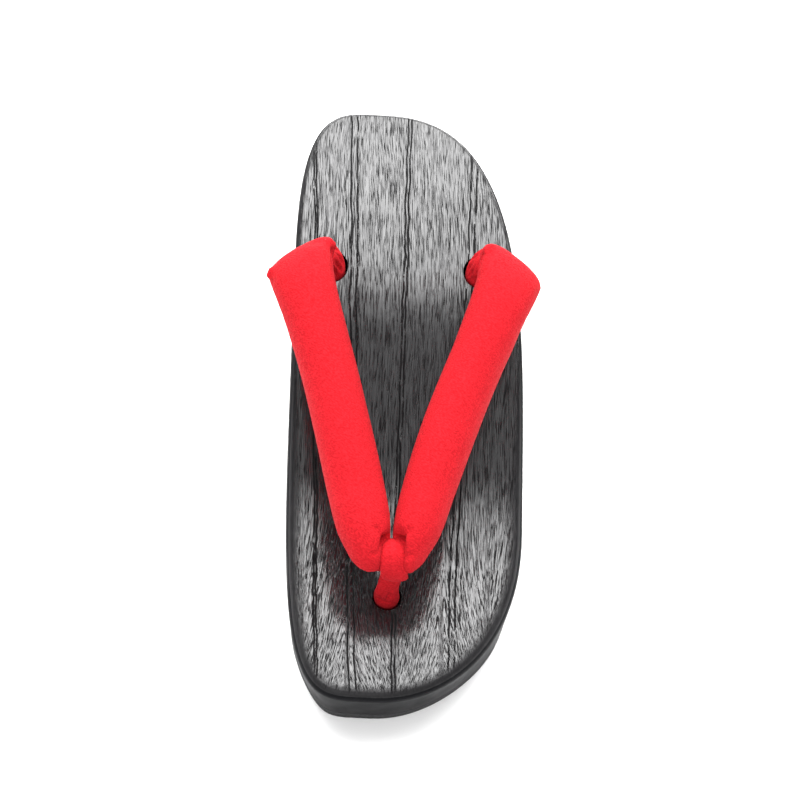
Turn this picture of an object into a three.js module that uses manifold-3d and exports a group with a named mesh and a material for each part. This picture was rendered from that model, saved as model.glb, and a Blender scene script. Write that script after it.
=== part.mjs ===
// Left geta sandal of the low, boat-shaped kind: a carved and lacquered wooden base on two rubber pads,
// a padded cloth strap whose ends go down through the base, and the toe loop that ties the strap down.
// Millimetres. +Z is up, the toe points to -Y, the little-toe side is +X, and the floor is z = 0.

import * as THREE from 'three';
import { mergeVertices } from 'three/addons/utils/BufferGeometryUtils.js';
import Module from 'manifold-3d';

const wasm = await Module();
wasm.setup();

const { lerp, smoothstep, degToRad } = THREE.MathUtils;

// Driving sizes
const length = 235;
const clearance = 0.3; // left between pieces that touch
const edgeRadius = 3; // round of the footbed's rim
const padThickness = 5.7;
const padTop = padThickness + clearance;

// Plan outline: from each tip, a quarter superellipse runs to where each side is widest.
const toeTip = { x: -6.9, y: -length / 2 };
const heelTip = { x: -12.2, y: length / 2 };
const sides = {
  medial: { sign: -1, wideX: -40.1, wideY: 28.8, toePower: 4.4, heelPower: 3.3 },
  lateral: { sign: 1, wideX: 45.9, wideY: -47, toePower: 2.06, heelPower: 2.9 },
};

// How far the outline at the floor lies inside the outline of the footbed
const undercut = { toe: 5.3, sides: 1.7, heel: 2.6, toeFromY: -80, heelFromY: 85 };

// Height of the footbed along the sandal: toe spring, ball, steep waist and a nearly level heel
const footbedRows = [
  { y: -117.5, z: 26.4 },
  { y: -91, z: 24.2 },
  { y: -65, z: 24 },
  { y: -39, z: 27.5 },
  { y: -13, z: 35.6 },
  { y: 13, z: 45.5 },
  { y: 39, z: 53.4 },
  { y: 65, z: 56.5 },
  { y: 91, z: 55.8 },
  { y: 117.5, z: 53.2 },
];

// Underside of the arch, from the back of the front pad to the front of the heel block
const archRows = [
  { y: -12, z: padTop },
  { y: -3, z: 11.4 },
  { y: 7, z: 18.3 },
  { y: 18, z: 25.2 },
  { y: 29.5, z: 31.3 },
  { y: 41, z: 35.9 },
  { y: 50, z: 37 },
  { y: 58, z: 34.4 },
  { y: 64, z: 26 },
  { y: 68, z: padTop },
];
const archStart = archRows[0].y;
const archEnd = archRows[archRows.length - 1].y;

// Holes through the base, with a recess under the front one for the knot of the toe loop
const frontHole = { x: -2.8, y: -75.6, radius: 5.2, recessRadius: 10, recessTop: 15 };
const rearHoles = {
  medial: { x: -26.9, y: 45, radius: 6.5 },
  lateral: { x: 28.6, y: 45, radius: 6.5 },
};

// The strap's middle line drifts towards the big toe at the front.
const strapMiddle = { atZero: -0.9, perY: 0.028 };

// One arm of the strap, front to back: out from the middle line, height, section, and how the section
// is turned and leans. The last rows are the oblique fold over which the arm turns down to its hole.
const armRows = [
  { y: -74.6, out: 6.6, z: 42.5, wide: 5, thick: 6, power: 2, turn: 0, lean: 0 },
  { y: -73.2, out: 6.8, z: 44.2, wide: 10, thick: 12, power: 2, turn: 0, lean: 0 },
  { y: -69, out: 7.7, z: 46.8, wide: 14.2, thick: 15.6, power: 2.1, turn: 0, lean: 0 },
  { y: -62, out: 9.3, z: 49.3, wide: 17.8, thick: 17.6, power: 2.2, turn: 0, lean: 0 },
  { y: -48, out: 12.5, z: 52.4, wide: 19.6, thick: 18.6, power: 2.2, turn: 0, lean: 0 },
  { y: -28, out: 17.6, z: 57.2, wide: 20.5, thick: 19, power: 2.2, turn: 0, lean: 2 },
  { y: -5, out: 24.2, z: 61.7, wide: 20.8, thick: 19, power: 2.2, turn: 0, lean: 4 },
  { y: 14, out: 30.6, z: 65.5, wide: 21.4, thick: 18.6, power: 2.2, turn: 0, lean: 7 },
  { y: 27.5, out: 35.4, z: 67.5, wide: 23, thick: 17.4, power: 2.3, turn: 8, lean: 10 },
  { y: 35, out: 37.4, z: 67.2, wide: 25.4, thick: 15, power: 2.5, turn: 18, lean: 11 },
  { y: 39.2, out: 38, z: 65.5, wide: 26.4, thick: 11, power: 2.7, turn: 24, lean: 11 },
  { y: 41.2, out: 38.2, z: 64.2, wide: 24, thick: 5, power: 2.7, turn: 24, lean: 11 },
];

// The gathered end of an arm, from inside the fold down into the hole, measured from the hole's mouth
const gatherRows = [
  { step: 0, out: 9.4, back: -4.6, up: 8.6, wide: 19, thick: 8 },
  { step: 1, out: 5.8, back: -0.6, up: 6.2, wide: 17.4, thick: 9.6 },
  { step: 2, out: 1.6, back: 0.8, up: 2.6, wide: 13.6, thick: 11.4 },
  { step: 3, out: 0, back: 0, up: -3.5, wide: 11.8, thick: 11.8 },
  { step: 4, out: 0, back: 0, up: -12, wide: 11, thick: 11 },
];
const gatherAcross = new THREE.Vector3(0.4, -0.9, 0).normalize(); // along the fold, on the outer side
const strapKnot = { radius: 9, height: 12 };

// Toe loop: a band round the bend of the strap, and a folded stem down into the front hole
const bandThickness = 2.6;
const bandWidth = 9.6; // at the front
const bandNeck = 5.8; // squeezed between the two arms at the back
const bend = { x: -1.6, y: -71.3, z: 43.5, halfY: 4.3, halfZ: 4.6 }; // inside of the band
const stemRows = [
  { step: 0, x: -1.7, y: -72, z: 37.6, wide: 8.8, thick: 4.4 },
  { step: 1, x: -2.2, y: -73.4, z: 34, wide: 9.2, thick: 4.4 },
  { step: 2, x: -2.7, y: -74.8, z: 29.6, wide: 8.8, thick: 4.6 },
  { step: 3, x: -2.8, y: -75.6, z: 24, wide: 8.4, thick: 4.6 },
  { step: 4, x: -2.8, y: -75.6, z: 12, wide: 8, thick: 5 },
];
const toeKnot = { radius: 8.4, height: 10, z: 8.4 };

// ---- Tables and solids ----

// Makes a table into a smooth function of one of its columns.
function smoothTable(rows, key) {
  const columns = Object.keys(rows[0]).filter((name) => name !== key);
  const positions = rows.map((row) => row[key]);
  const samples = rows.flatMap((row) => columns.map((name) => row[name]));
  const curve = new THREE.CubicInterpolant(positions, samples, columns.length);
  return (at) => {
    const values = curve.evaluate(at);
    return Object.fromEntries(columns.map((name, i) => [name, values[i]]));
  };
}

function evenSteps(from, to, count) {
  return Array.from({ length: count + 1 }, (_, i) => lerp(from, to, i / count));
}

function toSolid(geometry) {
  const shell = geometry.clone();
  shell.deleteAttribute('normal');
  shell.deleteAttribute('uv');
  const welded = mergeVertices(shell, 1e-4);
  const corners = Array.from(welded.index.array);
  const triangles = [];
  for (let i = 0; i < corners.length; i += 3) {
    const [a, b, c] = corners.slice(i, i + 3);
    if (a !== b && b !== c && c !== a) triangles.push(a, b, c);
  }
  const mesh = new wasm.Mesh({
    numProp: 3,
    vertProperties: new Float32Array(welded.attributes.position.array),
    triVerts: new Uint32Array(triangles),
  });
  return new wasm.Manifold(mesh);
}

function toGeometry(solid) {
  const mesh = solid.getMesh();
  const geometry = new THREE.BufferGeometry();
  geometry.setAttribute('position', new THREE.BufferAttribute(mesh.vertProperties, 3));
  geometry.setIndex(new THREE.BufferAttribute(mesh.triVerts, 1));
  geometry.computeVertexNormals();
  return geometry;
}

// Rings with the same number of points become a closed body, with the walls facing out where the rings
// run anticlockwise seen from the last one. The caller adds the caps, unless the last ring meets the first.
function bodyFromRings(rings, caps, joined = false) {
  const size = rings[0].length;
  const spans = joined ? rings.length : rings.length - 1;
  const faces = [];
  for (let level = 0; level < spans; level += 1) {
    const low = level * size;
    const high = ((level + 1) % rings.length) * size;
    for (let i = 0; i < size; i += 1) {
      const next = (i + 1) % size;
      faces.push(low + i, low + next, high + next, low + i, high + next, high + i);
    }
  }
  const top = (rings.length - 1) * size;
  for (const [a, b, c] of caps) {
    faces.push(c, b, a, top + a, top + b, top + c);
  }
  const geometry = new THREE.BufferGeometry().setFromPoints(rings.flat());
  geometry.setIndex(faces);
  return toSolid(geometry);
}

function cylinder(radius, x, y, fromZ, toZ) {
  const shape = new THREE.CylinderGeometry(radius, radius, toZ - fromZ, 40);
  shape.rotateX(Math.PI / 2);
  shape.translate(x, y, (fromZ + toZ) / 2);
  return toSolid(shape);
}

function flattenedBall(radius, height, x, y, z) {
  const shape = new THREE.SphereGeometry(radius, 24, 12);
  shape.rotateX(Math.PI / 2);
  shape.scale(1, 1, height / (2 * radius));
  shape.translate(x, y, z);
  return toSolid(shape);
}

// ---- Base and pads ----

const footbedAt = smoothTable(footbedRows, 'y');
const archAt = smoothTable(archRows, 'y');

function footbedHeight(y) {
  return footbedAt(y).z;
}

function undersideHeight(y) {
  return y > archStart && y < archEnd ? archAt(y).z : padTop;
}

// A point of the outline at one side, moved in by inset at a right angle to the outline
function edgePoint(side, y, inset) {
  const tip = y < side.wideY ? toeTip : heelTip;
  const power = y < side.wideY ? side.toePower : side.heelPower;
  const reachX = side.wideX - tip.x;
  const reachY = tip.y - side.wideY;
  const along = Math.min(1, (y - side.wideY) / reachY);
  const out = (1 - along ** power) ** (1 / power);
  const outward = new THREE.Vector2(out ** (power - 1) / reachX, along ** (power - 1) / reachY);
  return new THREE.Vector2(tip.x + reachX * out, y).addScaledVector(outward.normalize(), -inset);
}

// How far the side wall has come in at height z, on its straight slope down to the floor
function wallInset(y, z) {
  const toeShare = 1 - smoothstep(y, toeTip.y, undercut.toeFromY);
  const heelShare = smoothstep(y, undercut.heelFromY, heelTip.y);
  const atFloor =
    undercut.sides +
    (undercut.toe - undercut.sides) * toeShare +
    (undercut.heel - undercut.sides) * heelShare;
  return atFloor * (1 - z / footbedHeight(y));
}

// Stations along the sandal, closer together towards the tips, where the outline turns
function stations(fromY, toY) {
  const count = 68;
  const all = evenSteps(0, Math.PI, count).map((angle) => (-length / 2) * Math.cos(angle));
  return [fromY, ...all.filter((y) => y > fromY && y < toY), toY];
}

function outlineRing(ys, insetAt, heightAt) {
  const place = (side) => (y) => {
    const point = edgePoint(side, y, insetAt(y));
    return new THREE.Vector3(point.x, point.y, heightAt(point.y));
  };
  return [...ys.map(place(sides.lateral)), ...[...ys].reverse().map(place(sides.medial))];
}

// Strips from the lateral edge straight across to the medial edge
function crossStrips(count) {
  const strips = [];
  for (let i = 0; i + 1 < count; i += 1) {
    const across = 2 * count - 1 - i;
    strips.push([i, i + 1, across - 1], [i, across - 1, across]);
  }
  return strips;
}

// The wooden body, all its faces moved out by grow
function woodBody(grow) {
  const ys = stations(toeTip.y, heelTip.y);
  const rimSteps = evenSteps(0, Math.PI / 2, 4);
  const underside = outlineRing(
    ys,
    (y) => wallInset(y, undersideHeight(y)) - grow,
    (y) => undersideHeight(y) - grow,
  );
  const rim = rimSteps.map((angle) =>
    outlineRing(
      ys,
      () => edgeRadius * (1 - Math.cos(angle)) - grow,
      (y) => footbedHeight(y) - edgeRadius * (1 - Math.sin(angle)) + grow,
    ),
  );
  let body = bodyFromRings([underside, ...rim], crossStrips(ys.length));
  const above = 100;
  for (const hole of [frontHole, rearHoles.medial, rearHoles.lateral]) {
    body = body.subtract(cylinder(hole.radius - grow, hole.x, hole.y, -1, above));
  }
  const { x, y, recessRadius, recessTop } = frontHole;
  return body.subtract(cylinder(recessRadius - grow, x, y, -1, recessTop - grow));
}

function solePad(fromY, toY) {
  const ys = stations(fromY, toY);
  const level = (z) =>
    outlineRing(
      ys,
      (y) => wallInset(y, z),
      () => z,
    );
  return bodyFromRings([level(0), level(padThickness)], crossStrips(ys.length));
}

// ---- Strap and toe loop ----

// A section is a rounded rectangle or oval: power 2 is an ellipse and a higher power is squarer.
function sectionRing({ centre, across, up, wide, thick, power }, points) {
  return Array.from({ length: points }, (_, i) => {
    const angle = (2 * Math.PI * i) / points;
    const c = Math.cos(angle);
    const s = Math.sin(angle);
    return centre
      .clone()
      .addScaledVector(across, (wide / 2) * Math.sign(c) * Math.abs(c) ** (2 / power))
      .addScaledVector(up, (thick / 2) * Math.sign(s) * Math.abs(s) ** (2 / power));
  });
}

function fanCap(points) {
  return Array.from({ length: points - 2 }, (_, i) => [0, i + 1, i + 2]);
}

function loft(sections, points, joined = false) {
  const rings = sections.map((section) => sectionRing(section, points));
  return bodyFromRings(rings, joined ? [] : fanCap(points), joined);
}

// Gives each section its across and up directions, at a right angle to the path of the centres.
function alongPath(sections, acrossFor) {
  return sections.map((section, i) => {
    const before = sections[Math.max(0, i - 1)].centre;
    const after = sections[Math.min(sections.length - 1, i + 1)].centre;
    const forward = after.clone().sub(before).normalize();
    const across = acrossFor(section, forward);
    const up = new THREE.Vector3().crossVectors(forward, across).normalize();
    return { ...section, across, up };
  });
}

function armBody(name) {
  const { sign } = sides[name];
  const rowAt = smoothTable(armRows, 'y');
  const ys = armRows.slice(1).flatMap((row, i) => evenSteps(armRows[i].y, row.y, 4).slice(0, -1));
  ys.push(armRows[armRows.length - 1].y);
  const sections = ys.map((y) => {
    const row = rowAt(y);
    const x = strapMiddle.atZero + strapMiddle.perY * y + sign * row.out;
    return { ...row, centre: new THREE.Vector3(x, y, row.z) };
  });
  const inward = new THREE.Vector3(-sign, 0, 0);
  const placed = alongPath(sections, (section, forward) => {
    const level = new THREE.Vector3(-forward.y, forward.x, 0).normalize();
    level.multiplyScalar(Math.sign(level.dot(inward)) * sign);
    level.applyAxisAngle(new THREE.Vector3(0, 0, 1), degToRad(-sign * section.turn));
    return level.applyAxisAngle(forward, degToRad(sign * section.lean));
  });
  return loft(placed, 24);
}

function gatherBody(name) {
  const { sign } = sides[name];
  const hole = rearHoles[name];
  const mouth = footbedHeight(hole.y);
  const rowAt = smoothTable(gatherRows, 'step');
  const across = gatherAcross.clone().multiply(new THREE.Vector3(sign, 1, 1));
  const knotZ = undersideHeight(hole.y) - clearance - strapKnot.height / 2;
  const sections = evenSteps(0, gatherRows.length - 1, 16).map((step) => {
    const row = rowAt(step);
    const centre = new THREE.Vector3(hole.x + sign * row.out, hole.y + row.back, mouth + row.up);
    return { ...row, centre, power: 2 };
  });
  const last = sections[sections.length - 1];
  sections.push({ ...last, centre: new THREE.Vector3(hole.x, hole.y, knotZ) });
  const knot = flattenedBall(strapKnot.radius, strapKnot.height, hole.x, hole.y, knotZ);
  return loft(alongPath(sections, () => across), 20).add(knot);
}

// The bend of the strap inside the band: an oval bar from one arm to the other
function bendBar(halfLength) {
  const shape = new THREE.Shape();
  shape.absellipse(0, 0, bend.halfZ - clearance, bend.halfY - clearance, 0, 2 * Math.PI);
  const bar = new THREE.ExtrudeGeometry(shape, { depth: 2 * halfLength, bevelEnabled: false, curveSegments: 16 });
  bar.rotateY(-Math.PI / 2);
  bar.translate(bend.x + halfLength, bend.y, bend.z);
  return toSolid(bar);
}

// Room for the band: as wide as its front, and narrower between the arms
function bandSlot() {
  const frontHalf = bandWidth / 2 + clearance;
  const neckHalf = bandNeck / 2 + clearance;
  const back = bend.halfY + bandThickness + clearance;
  const reach = 30;
  const shape = new THREE.Shape();
  shape.moveTo(-frontHalf, -reach);
  shape.lineTo(frontHalf, -reach);
  shape.lineTo(frontHalf, 0);
  shape.lineTo(neckHalf, back);
  shape.lineTo(-neckHalf, back);
  shape.lineTo(-frontHalf, 0);
  shape.closePath();
  const slot = new THREE.ExtrudeGeometry(shape, { depth: 2 * reach, bevelEnabled: false });
  slot.translate(bend.x, bend.y, bend.z - reach);
  return toSolid(slot);
}

function strapBody(wood) {
  const intoArms = 3;
  return armBody('medial')
    .add(armBody('lateral'))
    .subtract(bandSlot())
    .add(bendBar(bandWidth / 2 + clearance + intoArms))
    .add(gatherBody('medial'))
    .add(gatherBody('lateral'))
    .subtract(wood);
}

function toeLoopBody(wood) {
  const turns = evenSteps(0, 2 * Math.PI, 36).slice(0, -1);
  const across = new THREE.Vector3(1, 0, 0);
  const band = turns.map((angle) => {
    const up = new THREE.Vector3(0, Math.cos(angle) * bend.halfZ, Math.sin(angle) * bend.halfY).normalize();
    const centre = new THREE.Vector3(
      bend.x,
      bend.y + Math.cos(angle) * (bend.halfY + bandThickness / 2),
      bend.z + Math.sin(angle) * (bend.halfZ + bandThickness / 2),
    );
    const neckShare = (1 + Math.cos(angle)) / 2;
    const wide = lerp(bandWidth, bandNeck, neckShare);
    return { centre, across, up, wide, thick: bandThickness, power: 3 };
  });
  const rowAt = smoothTable(stemRows, 'step');
  const stem = evenSteps(0, stemRows.length - 1, 20).map((step) => {
    const row = rowAt(step);
    return { ...row, centre: new THREE.Vector3(row.x, row.y, row.z), power: 3 };
  });
  const knot = flattenedBall(toeKnot.radius, toeKnot.height, frontHole.x, frontHole.y, toeKnot.z);
  return loft(band, 12, true)
    .add(loft(alongPath(stem, () => across), 12))
    .add(knot)
    .subtract(wood);
}

// ---- The sandal ----

const lacqueredWood = new THREE.MeshStandardMaterial({ color: 0x1c1b1d, roughness: 0.28, metalness: 0 });
const rubber = new THREE.MeshStandardMaterial({ color: 0x1a1a1b, roughness: 0.75, metalness: 0 });
const redCrepe = new THREE.MeshStandardMaterial({ color: 0xd8202c, roughness: 0.85, metalness: 0 });

const sandal = new THREE.Group();

function addNode(name, solid, material) {
  const mesh = new THREE.Mesh(toGeometry(solid), material);
  mesh.name = name;
  sandal.add(mesh);
}

const woodWithRoom = woodBody(clearance);
const frontPad = solePad(toeTip.y, archStart).subtract(
  cylinder(frontHole.recessRadius, frontHole.x, frontHole.y, -1, padTop),
);

addNode('wood_base', woodBody(0), lacqueredWood);
addNode('front_rubber_sole', frontPad, rubber);
addNode('heel_rubber_sole', solePad(archEnd, heelTip.y), rubber);
addNode('strap', strapBody(woodWithRoom), redCrepe);
addNode('toe_loop', toeLoopBody(woodWithRoom), redCrepe);

export default sandal;
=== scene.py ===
# Left geta sandal: lacquered wood base on two rubber soles, padded red crepe strap and its toe loop.
# Metres. +Z is up, the toe points to -Y and the little-toe side is +X.

import math

import bmesh
import bpy
import numpy as np
from mathutils import Matrix, Quaternion, Vector


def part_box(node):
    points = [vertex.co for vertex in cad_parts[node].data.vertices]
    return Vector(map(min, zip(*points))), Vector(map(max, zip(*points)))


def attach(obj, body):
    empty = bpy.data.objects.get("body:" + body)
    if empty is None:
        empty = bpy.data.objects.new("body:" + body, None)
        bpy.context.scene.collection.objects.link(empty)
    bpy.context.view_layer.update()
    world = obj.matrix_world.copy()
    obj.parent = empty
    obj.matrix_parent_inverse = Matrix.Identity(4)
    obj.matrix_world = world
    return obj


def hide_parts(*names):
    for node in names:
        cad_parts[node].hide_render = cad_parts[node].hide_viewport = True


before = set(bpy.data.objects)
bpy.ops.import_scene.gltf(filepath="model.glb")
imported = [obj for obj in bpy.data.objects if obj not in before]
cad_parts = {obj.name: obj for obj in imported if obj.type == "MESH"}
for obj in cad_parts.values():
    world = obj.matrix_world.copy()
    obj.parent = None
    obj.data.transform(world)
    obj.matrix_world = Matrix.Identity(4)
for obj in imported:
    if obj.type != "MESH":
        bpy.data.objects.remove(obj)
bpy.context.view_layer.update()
scene = bpy.context.scene
mm = 0.001


def linearColour(hexText):
    # sRGB hex to the linear values that the shaders take
    channels = [int(hexText[i:i + 2], 16) / 255 for i in (1, 3, 5)]
    return [c / 12.92 if c <= 0.04045 else ((c + 0.055) / 1.055) ** 2.4 for c in channels] + [1.0]


def addNode(tree, kind, inputs, **settings):
    # an input is a value, a socket, or a node, which then gives its first output
    made = tree.nodes.new("ShaderNode" + kind)
    for name, value in settings.items():
        setattr(made, name, value)
    for key, value in inputs.items():
        if isinstance(value, bpy.types.Node):
            value = value.outputs[0]
        if isinstance(value, bpy.types.NodeSocket):
            tree.links.new(value, made.inputs[key])
        else:
            made.inputs[key].default_value = value
    return made


def newMaterial(name, viewColour):
    material = bpy.data.materials.new(name)
    material.use_nodes = True
    material.node_tree.nodes.clear()
    material.diffuse_color = linearColour(viewColour)
    return material, material.node_tree


def objectMm(tree):
    # places on the piece itself, in millimetres
    coords = addNode(tree, "TexCoord", {}).outputs["Object"]
    return addNode(tree, "Mapping", {"Vector": coords, "Scale": (1 / mm, 1 / mm, 1 / mm)})


def copyOfNode(nodeName, newName):
    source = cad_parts[nodeName]
    mesh = source.data.copy()
    mesh.materials.clear()
    mesh.transform(source.matrix_world)
    copy = bpy.data.objects.new(newName, mesh)
    scene.collection.objects.link(copy)
    return copy


def writeMesh(bm, piece):
    bm.to_mesh(piece.data)
    bm.free()


weldWithin = 0.004
shortestEdge = 0.002


def mergeLooseTriangles(bm):
    bmesh.ops.remove_doubles(bm, verts=bm.verts, dist=weldWithin * mm)
    bmesh.ops.dissolve_degenerate(bm, edges=bm.edges, dist=shortestEdge * mm)


def finishPiece(piece, material, slotName, *cadNodes):
    piece.data.materials.append(material)
    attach(piece, "root")
    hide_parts(*cadNodes)


cameraView = {"place": (-0.0543, -0.6276, 1.0451), "aim": (0.0, -0.004, 0.042), "roll": 6.56, "lens": 146.46}


def makeCamera():
    data = bpy.data.cameras.new("camera")
    data.lens = cameraView["lens"]
    data.sensor_width = 36
    data.clip_end = 20
    camera = bpy.data.objects.new("camera", data)
    place, aim = Vector(cameraView["place"]), Vector(cameraView["aim"])
    turn = (aim - place).to_track_quat("-Z", "Y") @ Quaternion((0, 0, 1), math.radians(cameraView["roll"]))
    camera.matrix_world = Matrix.LocRotScale(place, turn, None)
    scene.collection.objects.link(camera)
    scene.camera = camera


makeCamera()
print("camera placed")


footbed = {
    "black": "#0d0c0e",
    "worn": "#121113",
    # painted shade: the darker colour that open pores and growth grooves take
    "pore": "#060506",
    "wander": 7.0,
    "poreSpacing": 0.25,
    "poreLength": 7.5,
    "shorterAtToe": 8.0,
    "toeFrom": -62.0,
    "poreDepth": 0.1,
    "poreEdge": (0.52, 0.67),
    "poreShade": 0.85,
    "patchy": 0.12,
    "denserBetween": (20.0, -70.0),
    "denserAtToe": 0.022,
    "brushSpacing": 0.42,
    "brushLength": 24.0,
    "brushDepth": 0.035,
    "leanFrom": -35.0,
    "leanPerSquare": 0.0016,
    "leanBands": 0.19,
    "grooveDepth": 0.35,
    "grooveEdge": (0.36, 0.14),
    "grooveBreaks": (0.36, 0.46),
    "grooveJitter": 3.0,
    "swellDepth": 0.12,
    "marginBetween": (-40.0, 30.0),
    "toeMargin": 6.4,
    "heelMargin": 1.2,
    "marginFall": 0.19,
    "marginEdge": (0.75, 0.35),
    "marginRagged": 1.6,
    "marginRoughness": 0.3,
    "marginShine": (0.2, 0.05),
    "streak": 0.26,
    "shine": 0.53,
    "gloss": 0.12,
    "poreRoughness": 0.5,
    "ior": 1.54,
}
# Dark growth lines along the base: where each crosses the heel end and the toe end, in millimetres
growthLines = [
    {"atHeel": -34.3, "atToe": -27.2, "apart": 0.9},
    {"atHeel": -19.4, "atToe": -14.9, "apart": 2.3},
    {"atHeel": 1.7, "atToe": -0.6, "apart": 1.2},
    {"atHeel": 27.0, "atToe": 19.6, "apart": 2.1},
]
baseLength = 235


def growthGrooves(tree, inMm, place):
    # pairs of deeper lines, broken and not quite straight
    dashCoords = addNode(tree, "Mapping", {"Vector": inMm, "Scale": (0.7, 0.13, 0.1)})
    dashes = addNode(tree, "TexNoise", {"Vector": dashCoords, "Scale": 1.0, "Detail": 3.0, "Roughness": 0.6})
    low, high = footbed["grooveBreaks"]
    dashes = addNode(tree, "MapRange", {0: dashes, 1: low, 2: high}, interpolation_type="SMOOTHSTEP")
    jitterCoords = addNode(tree, "Mapping", {"Vector": inMm, "Scale": (0.02, 0.05, 0.02)})
    jitter = addNode(tree, "TexNoise", {"Vector": jitterCoords, "Scale": 1.0, "Detail": 3.0})
    sideways = {0: jitter, 1: footbed["grooveJitter"], 2: -footbed["grooveJitter"] / 2}
    jitter = addNode(tree, "Math", sideways, operation="MULTIPLY_ADD")
    across = addNode(tree, "Math", {0: place[0], 1: jitter}, operation="ADD")
    outside, inside = footbed["grooveEdge"]
    grooves = 0.0
    for line in growthLines:
        slope = (line["atHeel"] - line["atToe"]) / baseLength
        middle = (line["atHeel"] + line["atToe"]) / 2
        lineX = addNode(tree, "Math", {0: place[1], 1: slope, 2: middle}, operation="MULTIPLY_ADD")
        gap = addNode(tree, "Math", {0: across, 1: lineX}, operation="SUBTRACT")
        gap = addNode(tree, "Math", {0: gap}, operation="ABSOLUTE")
        gap = addNode(tree, "Math", {0: gap, 1: line["apart"] / 2}, operation="SUBTRACT")
        gap = addNode(tree, "Math", {0: gap}, operation="ABSOLUTE")
        groove = {0: gap, 1: outside, 2: inside}
        groove = addNode(tree, "MapRange", groove, interpolation_type="SMOOTHSTEP")
        grooves = addNode(tree, "Math", {0: grooves, 1: groove}, operation="MAXIMUM")
    return addNode(tree, "Math", {0: grooves, 1: dashes}, operation="MULTIPLY")


def brushedAcross(tree, inMm, place):
    # the grain wanders sideways a little on its way from heel to toe
    slow = addNode(tree, "Mapping", {"Vector": inMm, "Scale": (0.03, 0.014, 0.03)})
    wander = addNode(tree, "TexNoise", {"Vector": slow, "Scale": 1.0, "Detail": 1.0})
    sideways = {0: wander, 1: footbed["wander"], 2: -footbed["wander"] / 2}
    wander = addNode(tree, "Math", sideways, operation="MULTIPLY_ADD")
    across = addNode(tree, "Math", {0: place[0], 1: wander}, operation="ADD")

    # towards the toe the brushing leans one way and then the other from board line to board line
    wave = addNode(tree, "Math", {0: place[0], 1: footbed["leanBands"]}, operation="MULTIPLY")
    wave = addNode(tree, "Math", {0: wave}, operation="SINE")
    leanSide = {0: wave, 1: -0.25, 2: 0.25, 3: -1.0, 4: 1.0}
    leanSide = addNode(tree, "MapRange", leanSide, interpolation_type="SMOOTHSTEP")
    toToe = addNode(tree, "Math", {0: footbed["leanFrom"], 1: place[1]}, operation="SUBTRACT")
    toToe = addNode(tree, "Math", {0: toToe, 1: 0.0}, operation="MAXIMUM")
    lean = addNode(tree, "Math", {0: toToe, 1: 2.0}, operation="POWER")
    lean = addNode(tree, "Math", {0: lean, 1: footbed["leanPerSquare"]}, operation="MULTIPLY")
    return addNode(tree, "Math", {0: lean, 1: leanSide, 2: across}, operation="MULTIPLY_ADD")


def poreNoise(tree, inMm, place, brushed):
    # dashes a fraction of a millimetre wide, shorter close to the toe and denser in patches
    shorter = addNode(tree, "Math", {0: place[1], 1: footbed["toeFrom"]}, operation="SUBTRACT")
    shorter = addNode(tree, "Math", {0: shorter, 1: 0.0}, operation="MINIMUM")
    shorter = addNode(tree, "Math", {0: shorter, 1: footbed["shorterAtToe"]}, operation="DIVIDE")
    stretched = {0: place[1], 1: 1 / footbed["poreLength"], 2: shorter}
    poreCoords = {
        0: addNode(tree, "Math", {0: brushed, 1: footbed["poreSpacing"]}, operation="DIVIDE"),
        1: addNode(tree, "Math", stretched, operation="MULTIPLY_ADD"),
        2: addNode(tree, "Math", {0: place[2], 1: 9.0}, operation="DIVIDE"),
    }
    poreCoords = addNode(tree, "CombineXYZ", poreCoords)
    fine = addNode(tree, "TexNoise", {"Vector": poreCoords, "Scale": 1.0, "Detail": 2.0, "Roughness": 0.55})
    patchCoords = addNode(tree, "Mapping", {"Vector": inMm, "Scale": (0.11, 0.035, 0.05)})
    patches = addNode(tree, "TexNoise", {"Vector": patchCoords, "Scale": 1.0, "Detail": 3.0})
    density = {0: patches, 1: footbed["patchy"], 2: -footbed["patchy"] / 2}
    density = addNode(tree, "Math", density, operation="MULTIPLY_ADD")
    fromHeel, toToe = footbed["denserBetween"]
    towardsToe = {0: place[1], 1: fromHeel, 2: toToe}
    towardsToe = addNode(tree, "MapRange", towardsToe, interpolation_type="SMOOTHSTEP")
    density = {0: towardsToe, 1: footbed["denserAtToe"], 2: density}
    density = addNode(tree, "Math", density, operation="MULTIPLY_ADD")
    return addNode(tree, "Math", {0: fine, 1: density}, operation="ADD")


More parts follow.
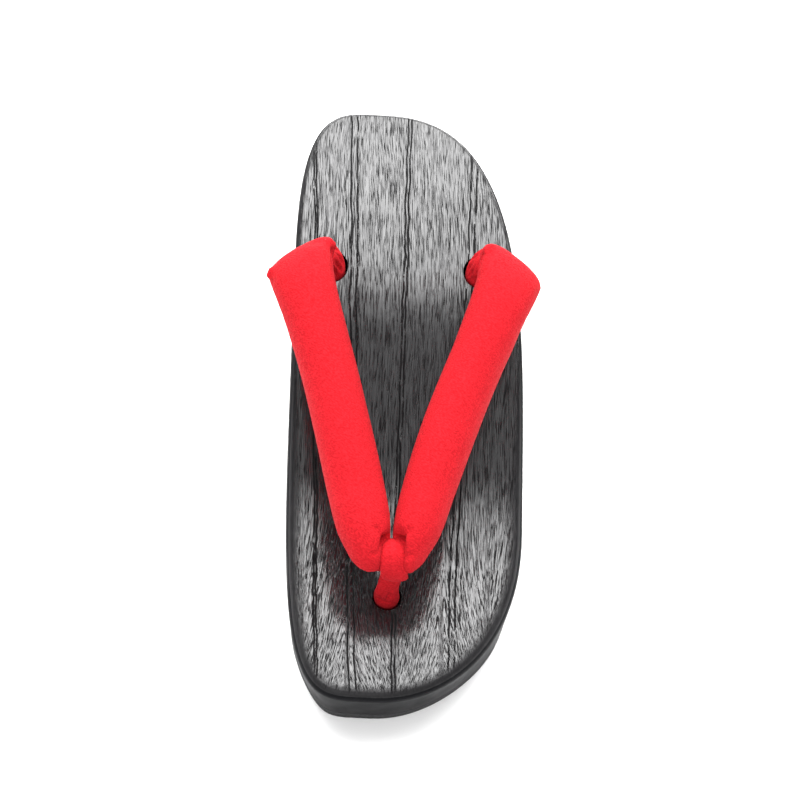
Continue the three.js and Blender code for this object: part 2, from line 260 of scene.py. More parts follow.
def lacqueredBrushedWood():
    # Paulownia-type wood, wire-brushed so that its pores stay open, then sprayed with black lacquer:
    # glossy black between thousands of short dark dashes that run with the grain.
    material, tree = newMaterial("lacqueredBrushedWood", footbed["black"])
    inMm = objectMm(tree)
    place = addNode(tree, "SeparateXYZ", {0: inMm}).outputs
    brushed = brushedAcross(tree, inMm, place)
    fine = poreNoise(tree, inMm, place, brushed)

    # longer, shallower lines left by the wire brush
    lineCoords = {
        0: addNode(tree, "Math", {0: brushed, 1: footbed["brushSpacing"]}, operation="DIVIDE"),
        1: addNode(tree, "Math", {0: place[1], 1: footbed["brushLength"]}, operation="DIVIDE"),
    }
    lineCoords = addNode(tree, "CombineXYZ", lineCoords)
    lines = addNode(tree, "TexNoise", {"Vector": lineCoords, "Scale": 1.0, "Detail": 2.0})

    # the brushing stops raggedly a little before the top turns over into the rim
    fromEdge = addNode(tree, "Attribute", {}, attribute_name="fromEdge").outputs["Fac"]
    toeEnd, heelEnd = footbed["marginBetween"]
    margin = {0: place[1], 1: toeEnd, 2: heelEnd, 3: footbed["toeMargin"], 4: footbed["heelMargin"]}
    margin = addNode(tree, "MapRange", margin, interpolation_type="SMOOTHSTEP")
    plain = addNode(tree, "Math", {0: fromEdge, 1: margin}, operation="DIVIDE")
    plain = addNode(tree, "Math", {0: 1.0, 1: plain}, operation="SUBTRACT")
    plain = addNode(tree, "Math", {0: plain, 1: 0.0}, operation="MAXIMUM")
    ragged = addNode(tree, "Math", {0: plain, 1: footbed["marginRagged"] / 2}, operation="ADD")
    ragged = {0: fine, 1: -footbed["marginRagged"], 2: ragged}
    ragged = addNode(tree, "Math", ragged, operation="MULTIPLY_ADD")
    outside, inside = footbed["marginEdge"]
    onTop = addNode(tree, "MapRange", {0: ragged, 1: outside, 2: inside}, interpolation_type="SMOOTHSTEP")

    outside, inside = footbed["poreEdge"]
    pores = addNode(tree, "MapRange", {0: fine, 1: outside, 2: inside}, interpolation_type="SMOOTHSTEP")
    pores = addNode(tree, "Math", {0: pores, 1: onTop}, operation="MULTIPLY")
    grooves = growthGrooves(tree, inMm, place)
    grooves = addNode(tree, "Math", {0: grooves, 1: onTop}, operation="MULTIPLY")
    linesOnTop = addNode(tree, "Math", {0: lines, 1: onTop}, operation="MULTIPLY")
    # the margin falls away softly to the rim, and the whole top swells a little
    fall = addNode(tree, "Math", {0: plain, 1: 2.0}, operation="POWER")
    fall = addNode(tree, "Math", {0: fall, 1: margin}, operation="MULTIPLY")
    swell = addNode(tree, "TexNoise", {"Vector": inMm, "Scale": 0.09, "Detail": 2.0})
    height = 0.0
    for layer, most in [
        (pores, -footbed["poreDepth"]),
        (grooves, -footbed["grooveDepth"]),
        (linesOnTop, footbed["brushDepth"]),
        (fall, -footbed["marginFall"]),
        (swell, footbed["swellDepth"]),
    ]:
        height = addNode(tree, "Math", {0: layer, 1: most, 2: height}, operation="MULTIPLY_ADD")
    height = addNode(tree, "Math", {0: height, 1: mm}, operation="MULTIPLY")

    openGrain = addNode(tree, "Math", {0: pores, 1: grooves}, operation="MAXIMUM")
    # the base colour is darker in open pores and growth grooves: painted shade in these hollows
    colours = {0: openGrain, 6: linearColour(footbed["worn"]), 7: linearColour(footbed["pore"])}
    rough = {0: openGrain, 1: 0.0, 2: 1.0, 3: footbed["gloss"], 4: footbed["poreRoughness"]}
    rough = addNode(tree, "MapRange", rough, interpolation_type="SMOOTHSTEP")
    offTop = addNode(tree, "Math", {0: 1.0, 1: onTop}, operation="SUBTRACT")
    duller = {0: offTop, 1: footbed["marginRoughness"], 2: rough}

    # almost nothing shines back out of an open pore, and the brushed lines shine unevenly
    streaks = {0: lines, 1: 0.35, 2: 0.65, 3: -footbed["streak"] / 2, 4: footbed["streak"] / 2}
    streaks = addNode(tree, "MapRange", streaks, interpolation_type="SMOOTHSTEP")
    toeShine, heelShine = footbed["marginShine"]
    rimShine = {0: place[1], 1: toeEnd, 2: heelEnd, 3: toeShine, 4: heelShine}
    rimShine = addNode(tree, "MapRange", rimShine, interpolation_type="SMOOTHSTEP")
    more = addNode(tree, "Math", {0: footbed["shine"], 1: rimShine}, operation="SUBTRACT")
    more = addNode(tree, "Math", {0: more, 1: streaks}, operation="ADD")
    shine = addNode(tree, "Math", {0: more, 1: onTop, 2: rimShine}, operation="MULTIPLY_ADD")
    left = {0: openGrain, 1: -footbed["poreShade"], 2: 1.0}
    left = addNode(tree, "Math", left, operation="MULTIPLY_ADD")
    surface = {
        "Base Color": addNode(tree, "Mix", colours, data_type="RGBA").outputs[2],
        "Roughness": addNode(tree, "Math", duller, operation="MULTIPLY_ADD"),
        "IOR": footbed["ior"],
        "Specular IOR Level": addNode(tree, "Math", {0: shine, 1: left}, operation="MULTIPLY"),
        "Normal": addNode(tree, "Bump", {"Height": height, "Distance": 1.0, "Strength": 1.0}),
    }
    addNode(tree, "OutputMaterial", {"Surface": addNode(tree, "BsdfPrincipled", surface)})
    return material


satin = {
    "black": "#0b0b0d",
    "lift": "#141416",
    "grain": 0.7,
    "depth": 0.012,
    "swellDepth": 0.08,
    "roughness": (0.36, 0.48),
    "shine": 0.035,
    "ior": 1.54,
}


def satinLacquer():
    # The carved rim, walls and underside: sanded end and side grain under the same lacquer, rubbed down
    # to a satin black in which only faint lines show.
    material, tree = newMaterial("satinLacquer", satin["black"])
    inMm = objectMm(tree)
    lineCoords = addNode(tree, "Mapping", {"Vector": inMm, "Scale": (0.04, 0.04, 1 / satin["grain"])})
    lines = addNode(tree, "TexNoise", {"Vector": lineCoords, "Scale": 1.0, "Detail": 4.0, "Roughness": 0.6})
    cloud = addNode(tree, "TexNoise", {"Vector": inMm, "Scale": 0.06, "Detail": 3.0})
    colours = {0: lines, 6: linearColour(satin["black"]), 7: linearColour(satin["lift"])}
    height = addNode(tree, "Math", {0: lines, 1: satin["depth"]}, operation="MULTIPLY")
    height = addNode(tree, "Math", {0: cloud, 1: satin["swellDepth"], 2: height}, operation="MULTIPLY_ADD")
    height = addNode(tree, "Math", {0: height, 1: mm}, operation="MULTIPLY")
    low, high = satin["roughness"]
    rough = {0: cloud, 1: 0.3, 2: 0.7, 3: low, 4: high}
    surface = {
        "Base Color": addNode(tree, "Mix", colours, data_type="RGBA").outputs[2],
        "Roughness": addNode(tree, "MapRange", rough, interpolation_type="SMOOTHSTEP"),
        "IOR": satin["ior"],
        "Specular IOR Level": satin["shine"],
        "Normal": addNode(tree, "Bump", {"Height": height, "Distance": 1.0, "Strength": 1.0}),
    }
    addNode(tree, "OutputMaterial", {"Surface": addNode(tree, "BsdfPrincipled", surface)})
    return material


rubberSheet = {
    "black": "#1b1b1c",
    "dusty": "#28282a",
    "grain": 0.5,
    "depth": 0.02,
    "roughness": (0.62, 0.78),
    "shine": 0.25,
    "ior": 1.52,
}


def mouldedRubber():
    # Sheet rubber, moulded and ground flush: near black and matt, with a dull fine grain.
    material, tree = newMaterial("mouldedRubber", rubberSheet["black"])
    inMm = objectMm(tree)
    grain = addNode(tree, "TexNoise", {"Vector": inMm, "Scale": 1 / rubberSheet["grain"], "Detail": 3.0})
    cloud = addNode(tree, "TexNoise", {"Vector": inMm, "Scale": 0.08, "Detail": 3.0})
    colours = {0: cloud, 6: linearColour(rubberSheet["black"]), 7: linearColour(rubberSheet["dusty"])}
    height = addNode(tree, "Math", {0: grain, 1: rubberSheet["depth"] * mm}, operation="MULTIPLY")
    low, high = rubberSheet["roughness"]
    rough = {0: grain, 1: 0.3, 2: 0.7, 3: low, 4: high}
    surface = {
        "Base Color": addNode(tree, "Mix", colours, data_type="RGBA").outputs[2],
        "Roughness": addNode(tree, "MapRange", rough, interpolation_type="SMOOTHSTEP"),
        "IOR": rubberSheet["ior"],
        "Specular IOR Level": rubberSheet["shine"],
        "Normal": addNode(tree, "Bump", {"Height": height, "Distance": 1.0, "Strength": 1.0}),
    }
    addNode(tree, "OutputMaterial", {"Surface": addNode(tree, "BsdfPrincipled", surface)})
    return material


crepe = {
    "red": "#b4151f",
    # painted shade: the darker red of the valleys between the pebbles
    "valley": "#9c0e17",
    "grainLength": 0.95,
    "grainWidth": 0.45,
    "grainDepth": 0.09,
    "softDepth": 0.25,
    "turn": -32,
    "roughness": (0.95, 0.8),
    "shine": 0.12,
    "ior": 1.5,
    "sheen": 0.04,
    "sheenRoughness": 0.5,
    "sheenTint": "#ff8a90",
}


def wovenCrepe():
    # Crepe woven from hard-twisted yarn, which shrinks into small slanting pebbles: a soft, dry, even red.
    material, tree = newMaterial("wovenCrepe", crepe["red"])
    inMm = objectMm(tree)
    slant = {
        "Vector": inMm,
        "Rotation": (0.0, 0.0, math.radians(crepe["turn"])),
        "Scale": (crepe["grainLength"], crepe["grainWidth"], crepe["grainWidth"]),
    }
    slanted = addNode(tree, "Mapping", slant, vector_type="TEXTURE")
    pebbles = addNode(tree, "TexNoise", {"Vector": slanted, "Scale": 1.0, "Detail": 1.0})
    pebbles = addNode(tree, "MapRange", {0: pebbles, 1: 0.3, 2: 0.7}, interpolation_type="SMOOTHSTEP")
    soft = addNode(tree, "TexNoise", {"Vector": inMm, "Scale": 0.12, "Detail": 2.0})
    # the valleys between the pebbles are painted a darker red: painted shade in the hollows
    colours = {0: pebbles, 6: linearColour(crepe["valley"]), 7: linearColour(crepe["red"])}
    height = addNode(tree, "Math", {0: pebbles, 1: crepe["grainDepth"]}, operation="MULTIPLY")
    height = addNode(tree, "Math", {0: soft, 1: crepe["softDepth"], 2: height}, operation="MULTIPLY_ADD")
    height = addNode(tree, "Math", {0: height, 1: mm}, operation="MULTIPLY")
    valleys, tops = crepe["roughness"]
    rough = {0: pebbles, 1: 0.0, 2: 1.0, 3: valleys, 4: tops}
    surface = {
        "Base Color": addNode(tree, "Mix", colours, data_type="RGBA").outputs[2],
        "Roughness": addNode(tree, "MapRange", rough, interpolation_type="SMOOTHSTEP"),
        "IOR": crepe["ior"],
        "Specular IOR Level": crepe["shine"],
        "Sheen Weight": crepe["sheen"],
        "Sheen Roughness": crepe["sheenRoughness"],
        "Sheen Tint": linearColour(crepe["sheenTint"]),
        "Normal": addNode(tree, "Bump", {"Height": height, "Distance": 1.0, "Strength": 1.0}),
    }
    addNode(tree, "OutputMaterial", {"Surface": addNode(tree, "BsdfPrincipled", surface)})
    return material


topMaterial = lacqueredBrushedWood()
wallMaterial = satinLacquer()
rubberMaterial = mouldedRubber()
crepeMaterial = wovenCrepe()
print("materials made")


woodEdges = {
    "round": 0.5,
    "segments": 3,
    "sharpAbove": 42,
    "topNormalAbove": 0.72,
    "topHigherThan": 20,
    "cell": 6.0,
    "holeRim": 2,
}
strapHoles = [
    {"at": (-2.8, -75.6), "radius": 5.2},
    {"at": (-26.9, 45.0), "radius": 6.5},
    {"at": (28.6, 45.0), "radius": 6.5},
]
soleEdges = {"round": 0.35, "segments": 2, "sharpAbove": 42}
flatWithin = 0.6  # degrees between two faces that are taken as one
smoothWithin = 36


def roundedCopy(nodeName, newName, edges, material, slotName):
    piece = copyOfNode(nodeName, newName)
    bm = bmesh.new()
    bm.from_mesh(piece.data)
    mergeLooseTriangles(bm)
    bmesh.ops.dissolve_limit(bm, angle_limit=math.radians(flatWithin), verts=bm.verts, edges=bm.edges)
    sharp = [e for e in bm.edges if e.is_manifold and e.calc_face_angle() > math.radians(edges["sharpAbove"])]
    bmesh.ops.bevel(
        bm, geom=sharp, offset=edges["round"] * mm, segments=edges["segments"], profile=0.5,
        affect="EDGES", material=-1, clamp_overlap=True,
    )
    writeMesh(bm, piece)
    piece.data.shade_smooth()
    piece.data.set_sharp_from_angle(angle=math.radians(smoothWithin))
    weighted = piece.modifiers.new("faceNormals", "WEIGHTED_NORMAL")
    weighted.keep_sharp = True
    finishPiece(piece, material, slotName, nodeName)
    return piece


def finishTop(base):
    # The brushed top gets its own lacquer, and each of its points keeps its distance from the outline.
    base.data.materials.append(topMaterial)
    bm = bmesh.new()
    bm.from_mesh(base.data)
    for face in bm.faces:
        high = face.calc_center_median().z > woodEdges["topHigherThan"] * mm
        face.material_index = int(high and face.normal.z > woodEdges["topNormalAbove"])
    low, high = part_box("wood_base")
    cuts = int((high[0] - low[0]) / (woodEdges["cell"] * mm))
    for i in range(1, cuts):
        top = [f for f in bm.faces if f.material_index == 1]
        bmesh.ops.bisect_plane(
            bm, geom=top + list({e for f in top for e in f.edges}) + list({v for f in top for v in f.verts}),
            plane_co=(low[0] + i * woodEdges["cell"] * mm, 0, 0), plane_no=(1, 0, 0),
        )
    holes = [(Vector(hole["at"]) * mm, (hole["radius"] + woodEdges["holeRim"]) * mm) for hole in strapHoles]
    outline = [
        e for e in bm.edges
        if sum(f.material_index for f in e.link_faces) == 1
        and all((e.verts[0].co.xy - middle).length > radius for middle, radius in holes)
    ]
    starts = np.array([e.verts[0].co[:2] for e in outline]) / mm
    spans = np.array([e.verts[1].co[:2] for e in outline]) / mm - starts
    layer = bm.verts.layers.float.new("fromEdge")
    for vert in {v for f in bm.faces if f.material_index == 1 for v in f.verts}:
        place = np.array(vert.co[:2]) / mm
        along = np.clip(((place - starts) * spans).sum(1) / np.maximum((spans ** 2).sum(1), 1e-9), 0, 1)
        vert[layer] = np.linalg.norm(place - starts - along[:, None] * spans, axis=1).min()
    writeMesh(bm, base)


base = roundedCopy("wood_base", "woodenBase", woodEdges, wallMaterial, "lacquered_wood")
finishTop(base)
roundedCopy("front_rubber_sole", "frontRubberSole", soleEdges, rubberMaterial, "sole_rubber")
roundedCopy("heel_rubber_sole", "heelRubberSole", soleEdges, rubberMaterial, "sole_rubber")
print("base and soles made")


# Two padded arms that meet under the toe loop. The middle line drifts towards the big toe at the front.
strapCloth = {
    "voxel": 1.2,
    "pressure": 90.0,
    "mass": 0.02,
    "stretch": 5,
    "bending": 1.5,
    "quality": 4,
    "frames": 20,
    "cap": 1.0,
    "fill": 0.85,
    "middleAtZero": -0.9,
    "middlePerY": 0.028,
    "gap": 0.3,
    "apartBehind": -67.5,
    "heldInFront": -69.5,
    "heldInFrontWithin": 4.5,
    "heldBehind": 30,
    "heldBelow": 55.5,
}
# Front to back: how far an arm bows outwards, how much fuller its padding is than its core, and how far
# the outer edges of both arms drift together towards the little toe (below zero, the big toe)
armFilling = [
    {"y": -76, "bow": -0.5, "fuller": 0.1, "drift": -1.0},
    {"y": -70, "bow": -0.5, "fuller": 0.2, "drift": -1.1},
    {"y": -64, "bow": 0.0, "fuller": 0.2, "drift": -1.1},
    {"y": -50, "bow": 0.3, "fuller": 0.1, "drift": -1.2},
    {"y": -20, "bow": 1.0, "fuller": 0.0, "drift": -0.6},
    {"y": 5, "bow": 1.5, "fuller": 0.0, "drift": 0.0},
    {"y": 22, "bow": 1.1, "fuller": 0.0, "drift": 0.0},
    {"y": 36, "bow": 0.3, "fuller": 0.0, "drift": 0.0},
]
bowBehind = {"y": 15, "above": 57, "over": 4}
driftOver = 10  # the drift grows over this distance from the middle line
# The end of an arm turns down behind the toe loop in a small round lobe: out from the middle line,
# along, up
tuckLobe = {"at": (4.0, -65.2, 48.4), "radii": (3.6, 3.0, 4.6)}


def mergedMesh(piece):
    bm = bmesh.new()
    bm.from_mesh(piece.data)
    mergeLooseTriangles(bm)
    return bm


def applyModifiers(piece):
    graph = bpy.context.evaluated_depsgraph_get()
    mesh = bpy.data.meshes.new_from_object(piece.evaluated_get(graph), depsgraph=graph)
    piece.modifiers.clear()
    old = piece.data
    piece.data = mesh
    bpy.data.meshes.remove(old)


def voxelRemeshed(piece, voxel):
    remesh = piece.modifiers.new("remesh", "REMESH")
    remesh.mode = "VOXEL"
    remesh.voxel_size = voxel * mm
    applyModifiers(piece)


def subdivided(piece, levels):
    smooth = piece.modifiers.new("subdivide", "SUBSURF")
    smooth.levels = levels
    smooth.render_levels = levels
    applyModifiers(piece)


def points(mesh):
    flat = np.empty(len(mesh.vertices) * 3, dtype=np.float32)
    mesh.vertices.foreach_get("co", flat)
    return flat.reshape(-1, 3) / mm


def normals(mesh):
    flat = np.empty(len(mesh.vertices) * 3, dtype=np.float32)
    mesh.vertex_normals.foreach_get("vector", flat)
    return flat.reshape(-1, 3)


def movePoints(mesh, places):
    mesh.vertices.foreach_set("co", (places * mm).astype(np.float32).ravel())
    mesh.update()


def outFromMiddle(places):
    return places[:, 0] - strapCloth["middleAtZero"] - strapCloth["middlePerY"] * places[:, 1]


def puffed(arm):
    # Air pressure fills the cloth from inside; the front bend and what is down in the hole are held.
    # The simulation has to start from exactly the rounded places that its result is compared with: it is
    # so sensitive that leaving out this first move changes the strap by up to half a millimetre.
    start = points(arm.data)
    movePoints(arm.data, start)
    inHole = (start[:, 1] > strapCloth["heldBehind"]) & (start[:, 2] < strapCloth["heldBelow"])
    nearMiddle = np.abs(outFromMiddle(start)) < strapCloth["heldInFrontWithin"]
    inBend = (start[:, 1] < strapCloth["heldInFront"]) & nearMiddle
    held = arm.vertex_groups.new(name="held")
    held.add(np.flatnonzero(inHole | inBend).tolist(), 1.0, "REPLACE")
    cloth = arm.modifiers.new("cloth", "CLOTH")
    cloth.settings.quality = strapCloth["quality"]
    cloth.settings.mass = strapCloth["mass"]
    cloth.settings.tension_stiffness = strapCloth["stretch"]
    cloth.settings.compression_stiffness = strapCloth["stretch"]
    cloth.settings.bending_stiffness = strapCloth["bending"]
    cloth.settings.use_pressure = True
    cloth.settings.uniform_pressure_force = strapCloth["pressure"]
    cloth.settings.effector_weights.gravity = 0
    cloth.settings.vertex_group_mass = "held"
    cloth.point_cache.frame_end = strapCloth["frames"]
    for step in range(1, strapCloth["frames"] + 1):
        scene.frame_set(step)
    applyModifiers(arm)
    scene.frame_set(1)
    moved = points(arm.data) - start
    far = np.linalg.norm(moved, axis=1, keepdims=True)
    print(arm.name, "puffed by", round(float(far.mean()), 2), "mm, at most", round(float(far.max()), 2))
    places = start + moved * np.minimum(1.0, strapCloth["cap"] / np.maximum(far, 1e-6))
    movePoints(arm.data, places)
    arm.vertex_groups.clear()


def filledOut(arm, side):
    places = points(arm.data)
    rows = {key: [row[key] for row in armFilling] for key in armFilling[0]}
    bow = np.interp(places[:, 1], rows["y"], rows["bow"])
    fuller = np.interp(places[:, 1], rows["y"], rows["fuller"])
    # at the back only what is above the gathers bows out
    above = np.clip((places[:, 2] - bowBehind["above"]) / bowBehind["over"], 0, 1)
    bow *= np.where(places[:, 1] > bowBehind["y"], above, 1)
    places += normals(arm.data) * fuller[:, None]
    drift = np.interp(places[:, 1], rows["y"], rows["drift"])
    places[:, 0] += side * bow + drift * np.clip(side * outFromMiddle(places) / driftOver, 0, 1)
    movePoints(arm.data, places)


def keepToItsSide(arm, side):
    # The arms lie against each other in front but stay two arms.
    places = points(arm.data)
    short = strapCloth["gap"] - side * outFromMiddle(places)
    apart = (short > 0) & (places[:, 1] > strapCloth["apartBehind"])
    places[:, 0] += side * np.where(apart, short, 0)
    movePoints(arm.data, places)


def pressCreases(mesh, creases, side=1):
    # Each crease runs along listed points (out from the middle line, along, up): a soft trough where
    # its depth is positive and a soft ridge where it is negative, fading out at both ends.
    places = points(mesh)
    facing = normals(mesh)
    across = side * outFromMiddle(places)
    local = np.column_stack([across, places[:, 1], places[:, 2]])
    shift = np.zeros(len(places))
    for crease in creases:
        if crease.get("side", side) != side:
            continue
        line = np.array(crease["line"], dtype=float)
        steps = np.linalg.norm(np.diff(line, axis=0), axis=1)
        total = steps.sum()
        nearest = np.full(len(places), 1e9)
        share = np.zeros(len(places))
        done = 0.0
        for i, step in enumerate(steps):
            along = (local - line[i]) @ (line[i + 1] - line[i]) / step ** 2
            along = np.clip(along, 0, 1)
            gap = np.linalg.norm(local - line[i] - along[:, None] * (line[i + 1] - line[i]), axis=1)
            closer = gap < nearest
            nearest = np.where(closer, gap, nearest)
            share = np.where(closer, (done + along * step) / total, share)
            done += step
        ends = crease.get("ends", 0.25)
        fade = np.clip(np.minimum(share, 1 - share) / ends, crease.get("least", 0.0), 1) if ends else 1
        shift += crease["depth"] * fade * np.exp(-((nearest / crease["width"]) ** 2))
    movePoints(mesh, places - facing * shift[:, None])


# Along each crease: out from the middle line, along, up. Deep tucks beside the toe loop, and the oblique
# fold with its gathers at the back.
strapCreases = [
    {"line": [(3.3, -69.4, 52.4), (2.9, -68.4, 53.0)], "depth": 2.8, "width": 1.4, "least": 1.0},
    {
        "line": [(3.5, -68.4, 53.2), (2.4, -67.2, 52.4), (0.9, -66.2, 51.2)],
        "depth": 1.9, "width": 0.8, "least": 0.7,
    },
    {"line": [(2.9, -68.8, 51.8), (0.9, -67.6, 50.6)], "depth": 2.0, "width": 1.2, "least": 0.8},
    {
        "line": [(6.2, -73.4, 51.0), (6.8, -75.8, 48.0), (6.8, -76.8, 44.5)],
        "depth": -0.8, "width": 1.7, "side": 1,
    },
    {
        "line": [(3.7, -69.4, 52.8), (4.4, -72.2, 52.4), (5.0, -74.4, 51.0)],
        "depth": 0.9, "width": 0.7, "least": 0.3,
    },
    {"line": [(3.6, -68.4, 54.2), (5.0, -66.8, 56.0), (6.4, -65.0, 57.2)], "depth": 0.7, "width": 1.1},
    {"line": [(5.4, -73.4, 52.4), (7.6, -74.6, 52.4)], "depth": 0.6, "width": 0.9},
    {"line": [(49.4, 29.6, 66.8), (47.4, 32.9, 70.0)], "depth": -1.3, "width": 1.5, "side": -1},
    {"line": [(48.8, 26.6, 66.0), (46.6, 27.6, 69.6), (44.0, 29.2, 71.8)], "depth": 0.7, "width": 1.1},
    {"line": [(27.8, 44.6, 71.0), (25.8, 43.4, 69.4)], "depth": -2.5, "width": 2.5, "least": 0.8, "side": -1},
    {"line": [(36.0, 42.6, 73.2), (31.6, 43.6, 73.4)], "depth": 0.9, "width": 3.0, "least": 0.8, "side": -1},
    {
        "line": [(33.0, 43.4, 73.2), (28.8, 43.4, 73.0), (27.0, 41.6, 72.0)],
        "depth": -1.3, "width": 2.4, "side": 1,
    },
    {
        "line": [(27.6, 43.4, 70.8), (27.0, 40.6, 70.2), (26.2, 37.0, 70.2), (25.4, 34.0, 69.0)],
        "depth": 1.7, "width": 1.0, "least": 0.3,
    },
    {
        "line": [(26.0, 45.0, 67.0), (24.2, 46.4, 61.0), (22.9, 45.2, 56.6), (22.4, 43.6, 53.6)],
        "depth": 1.3, "width": 0.9,
    },
    {"line": [(25.6, 42.2, 65.4), (24.6, 42.8, 60.0), (23.2, 42.2, 54.4)], "depth": 1.4, "width": 0.8},
    {"line": [(26.2, 40.0, 62.0), (24.9, 40.6, 57.0), (24.0, 40.4, 52.8)], "depth": 1.2, "width": 0.7},
    {"line": [(27.4, 47.4, 66.0), (25.0, 48.6, 60.0), (24.2, 48.4, 56.0)], "depth": 1.0, "width": 0.9},
]


def strapArm(name, side):
    arm = copyOfNode("strap", name)
    bm = mergedMesh(arm)
    everything = bm.verts[:] + bm.edges[:] + bm.faces[:]
    bmesh.ops.bisect_plane(
        bm, geom=everything, plane_co=(strapCloth["middleAtZero"] * mm, 0, 0),
        plane_no=(side, -side * strapCloth["middlePerY"], 0), clear_inner=True,
    )
    bmesh.ops.holes_fill(bm, edges=[e for e in bm.edges if e.is_boundary])
    out, y, z = tuckLobe["at"]
    x = strapCloth["middleAtZero"] + strapCloth["middlePerY"] * y + side * out
    place = Matrix.Translation(Vector((x, y, z)) * mm) @ Matrix.Diagonal((*tuckLobe["radii"], 1))
    bmesh.ops.create_uvsphere(bm, u_segments=24, v_segments=14, radius=mm, matrix=place)
    writeMesh(bm, arm)
    voxelRemeshed(arm, strapCloth["voxel"])
    puffed(arm)
    filledOut(arm, side)
    keepToItsSide(arm, side)
    subdivided(arm, 1)
    pressCreases(arm.data, strapCreases, side)
    return arm


def makeStrap():
    arms = [strapArm("medialArm", -1), strapArm("lateralArm", 1)]
    bm = bmesh.new()
    for arm in arms:
        bm.from_mesh(arm.data)
    strap = arms[0]
    strap.name = "paddedStrap"
    writeMesh(bm, strap)
    bpy.data.objects.remove(arms[1])
    strap.data.shade_smooth()
    finishPiece(strap, crepeMaterial, "red_crepe", "strap")
    return strap


strap = makeStrap()
print("strap made:", len(strap.data.polygons), "faces")


# A puffed band round the bend of the strap, and its two ends folded flat and pushed down the front hole
toeBand = {
    "middle": (-1.4, -71.3, 43.5),
    "insideY": 4.3,
    "insideZ": 4.9,
    "thick": 3.3,
    "front": 9.8,
    "back": 7.6,
    "lean": -0.17,
    "sections": 30,
}
toeStem = [
    {"at": (-1.9, -73.0, 40.5), "wide": 6.8, "thick": 3.8, "turn": 0},
    {"at": (-2.2, -74.6, 38.0), "wide": 7.8, "thick": 4.4, "turn": -4},
    {"at": (-2.5, -75.6, 35.2), "wide": 8.4, "thick": 4.2, "turn": 3},
    {"at": (-3.1, -76.2, 32.6), "wide": 8.0, "thick": 4.8, "turn": 8},
    {"at": (-3.2, -76.5, 29.8), "wide": 8.8, "thick": 5.0, "turn": 2},
    {"at": (-3.3, -76.2, 27.6), "wide": 9.0, "thick": 6.0, "turn": -10},
    {"at": (-3.0, -75.9, 25.6), "wide": 9.5, "thick": 7.4, "turn": 6},
    {"at": (-2.9, -75.7, 23.4), "wide": 9.2, "thick": 8.0, "turn": 0},
    {"at": (-2.8, -75.6, 20.6), "wide": 8.0, "thick": 7.0, "turn": 0},
    {"at": (-2.8, -75.6, 11.0), "wide": 7.2, "thick": 5.4, "turn": 0},
]
toeKnot = {"at": (-2.8, -75.6, 8.4), "radius": 8.2, "height": 9.6}
# Creases of the loop, in the same three columns as the strap's
loopCreases = [
    {
        "line": [(1.8, -78.4, 38.2), (0.4, -79.0, 35.0), (0.9, -79.2, 31.0), (-0.6, -79.2, 27.0)],
        "depth": 0.9, "width": 0.7,
    },
    {"line": [(-3.6, -78.2, 34.4), (-1.6, -79.0, 33.0), (0.0, -79.2, 32.4)], "depth": 0.6, "width": 0.6},
    {"line": [(4.6, -77.6, 32.2), (2.6, -79.0, 30.6), (1.6, -79.2, 29.6)], "depth": 0.6, "width": 0.6},
    {"line": [(-3.9, -78.0, 28.4), (-1.4, -79.0, 27.0), (2.0, -79.0, 26.2)], "depth": 0.55, "width": 0.6},
]


def addSection(bm, centre, across, forward, wide, thick, count=20):
    # an oval of edges at a right angle to forward, returned as its edges
    across = Vector(across).normalized()
    up = Vector(forward).normalized().cross(across)
    axes = Matrix((across, up, across.cross(up))).transposed().to_4x4()
    place = Matrix.Translation(Vector(centre) * mm) @ axes @ Matrix.Diagonal((wide / 2, thick / 2, 1, 1))
    made = bmesh.ops.create_circle(bm, segments=count, radius=mm, matrix=place)
    ring = set(made["verts"])
    return [e for e in bm.edges if e.verts[0] in ring and e.verts[1] in ring]


def joinSections(bm, sections, closed=False):
    pairs = list(zip(sections, sections[1:])) + ([(sections[-1], sections[0])] if closed else [])
    for first, second in pairs:
        bmesh.ops.bridge_loops(bm, edges=first + second)
    if not closed:
        bmesh.ops.holes_fill(bm, edges=sections[0] + sections[-1])


def addBand(bm):
    sections = []
    x, y, z = toeBand["middle"]
    for i in range(toeBand["sections"]):
        angle = 2 * math.pi * i / toeBand["sections"]
        c, s = math.cos(angle), math.sin(angle)
        centre = (
            x + s * toeBand["lean"] * toeBand["insideZ"],
            y + c * (toeBand["insideY"] + toeBand["thick"] / 2),
            z + s * (toeBand["insideZ"] + toeBand["thick"] / 2),
        )
        share = (1 + c) / 2
        wide = toeBand["front"] + (toeBand["back"] - toeBand["front"]) * share
        forward = (0, -s * toeBand["insideY"], c * toeBand["insideZ"])
        sections.append(addSection(bm, centre, (1, 0, 0), forward, wide, toeBand["thick"]))
    joinSections(bm, sections, closed=True)


def addStem(bm):
    sections = []
    for i, row in enumerate(toeStem):
        before = Vector(toeStem[max(0, i - 1)]["at"])
        after = Vector(toeStem[min(len(toeStem) - 1, i + 1)]["at"])
        turn = math.radians(row["turn"])
        across = (math.cos(turn), math.sin(turn), 0)
        sections.append(addSection(bm, row["at"], across, after - before, row["wide"], row["thick"]))
    joinSections(bm, sections)


def addKnot(bm, knot):
    flat = Matrix.Diagonal((1, 1, knot["height"] / 2 / knot["radius"], 1))
    place = Matrix.Translation(Vector(knot["at"]) * mm) @ flat
    bmesh.ops.create_uvsphere(bm, u_segments=32, v_segments=16, radius=knot["radius"] * mm, matrix=place)


def makeToeLoop():
    mesh = bpy.data.meshes.new("toeLoop")
    loop = bpy.data.objects.new("toeLoop", mesh)
    scene.collection.objects.link(loop)
    bm = bmesh.new()
    addBand(bm)
    addStem(bm)
    addKnot(bm, toeKnot)
    bmesh.ops.recalc_face_normals(bm, faces=bm.faces)
    writeMesh(bm, loop)
    subdivided(loop, 2)
    pressCreases(loop.data, loopCreases)
    loop.data.shade_smooth()
    finishPiece(loop, crepeMaterial, "red_crepe", "toe_loop")
    return loop


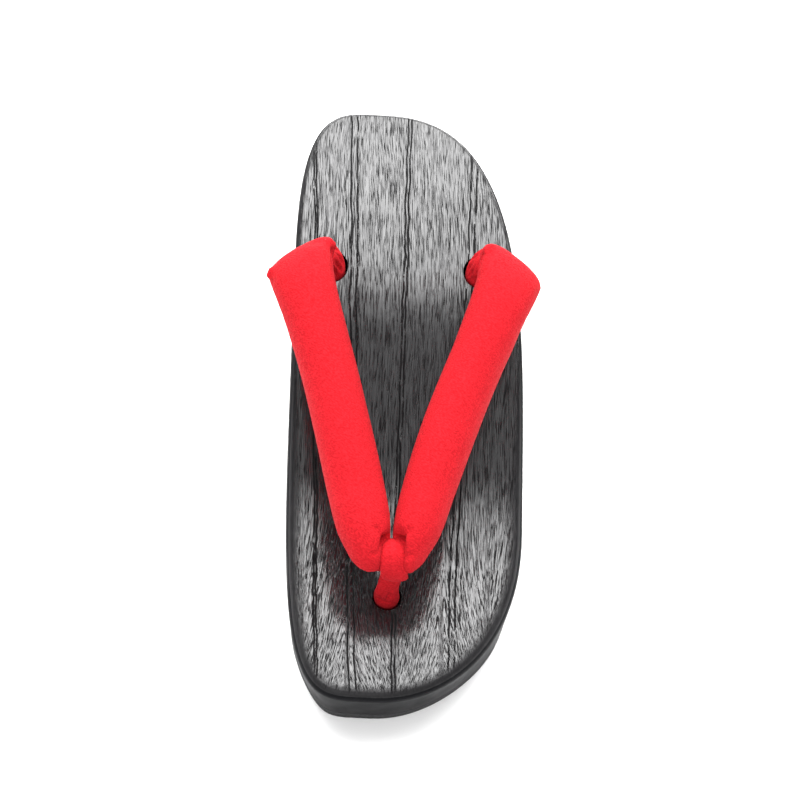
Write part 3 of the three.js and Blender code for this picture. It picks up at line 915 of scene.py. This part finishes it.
toeLoop = makeToeLoop()
print("toe loop made:", len(toeLoop.data.polygons), "faces")


studio = {
    "floor": "#ffffff",
    "sky": 0.5,
    "softBoxes": [
        {"strength": 10.0, "tilt": 40, "fades": (46, 2)},
        {"strength": 0.75, "tilt": -10, "fades": (75, 20)},
    ],
    "panels": [{"name": "frontPanel", "from": (-0.5, -1.3, 1.2), "size": (1.4, 1.0), "watts": 9}],
}


def makeStudio():
    bm = bmesh.new()
    bmesh.ops.create_grid(bm, x_segments=1, y_segments=1, size=4)
    mesh = bpy.data.meshes.new("floor")
    bm.to_mesh(mesh)
    bm.free()
    floor = bpy.data.objects.new("floor", mesh)
    scene.collection.objects.link(floor)
    material, tree = newMaterial("studioFloor", studio["floor"])
    shader = addNode(tree, "BsdfPrincipled", {"Base Color": linearColour(studio["floor"]), "Roughness": 0.9})
    addNode(tree, "OutputMaterial", {"Surface": shader.outputs[0]})
    mesh.materials.append(material)

    world = bpy.data.worlds.new("studio")
    world.use_nodes = True
    # a white room, a large soft box behind the heel and a dim one overhead, both fading out at their edges
    tree = world.node_tree
    direction = addNode(tree, "TexCoord", {}).outputs["Generated"]
    strength = studio["sky"]
    for box in studio["softBoxes"]:
        tilt = math.radians(box["tilt"])
        up = (0, math.sin(tilt), math.cos(tilt))
        towards = addNode(tree, "VectorMath", {0: direction, 1: up}, operation="DOT_PRODUCT").outputs["Value"]
        outer, inner = (math.cos(math.radians(angle)) for angle in box["fades"])
        rise = {0: towards, 1: outer, 2: inner, 3: 0.0, 4: box["strength"]}
        rise = addNode(tree, "MapRange", rise, interpolation_type="SMOOTHSTEP")
        strength = addNode(tree, "Math", {0: rise, 1: strength}, operation="ADD")
    tree.links.new(strength.outputs[0], tree.nodes["Background"].inputs["Strength"])
    tree.nodes["Background"].inputs["Color"].default_value = (1, 1, 1, 1)
    scene.world = world

    for panel in studio["panels"]:
        light = bpy.data.lights.new(panel["name"], "AREA")
        light.shape = "RECTANGLE"
        light.size, light.size_y = panel["size"]
        light.energy = panel["watts"]
        lamp = bpy.data.objects.new(panel["name"], light)
        place = Vector(panel["from"])
        turn = (Vector((0, 0, 0.03)) - place).to_track_quat("-Z", "Y")
        lamp.matrix_world = Matrix.LocRotScale(place, turn, None)
        scene.collection.objects.link(lamp)
    scene.view_settings.view_transform = "Standard"


makeStudio()
print("studio made")
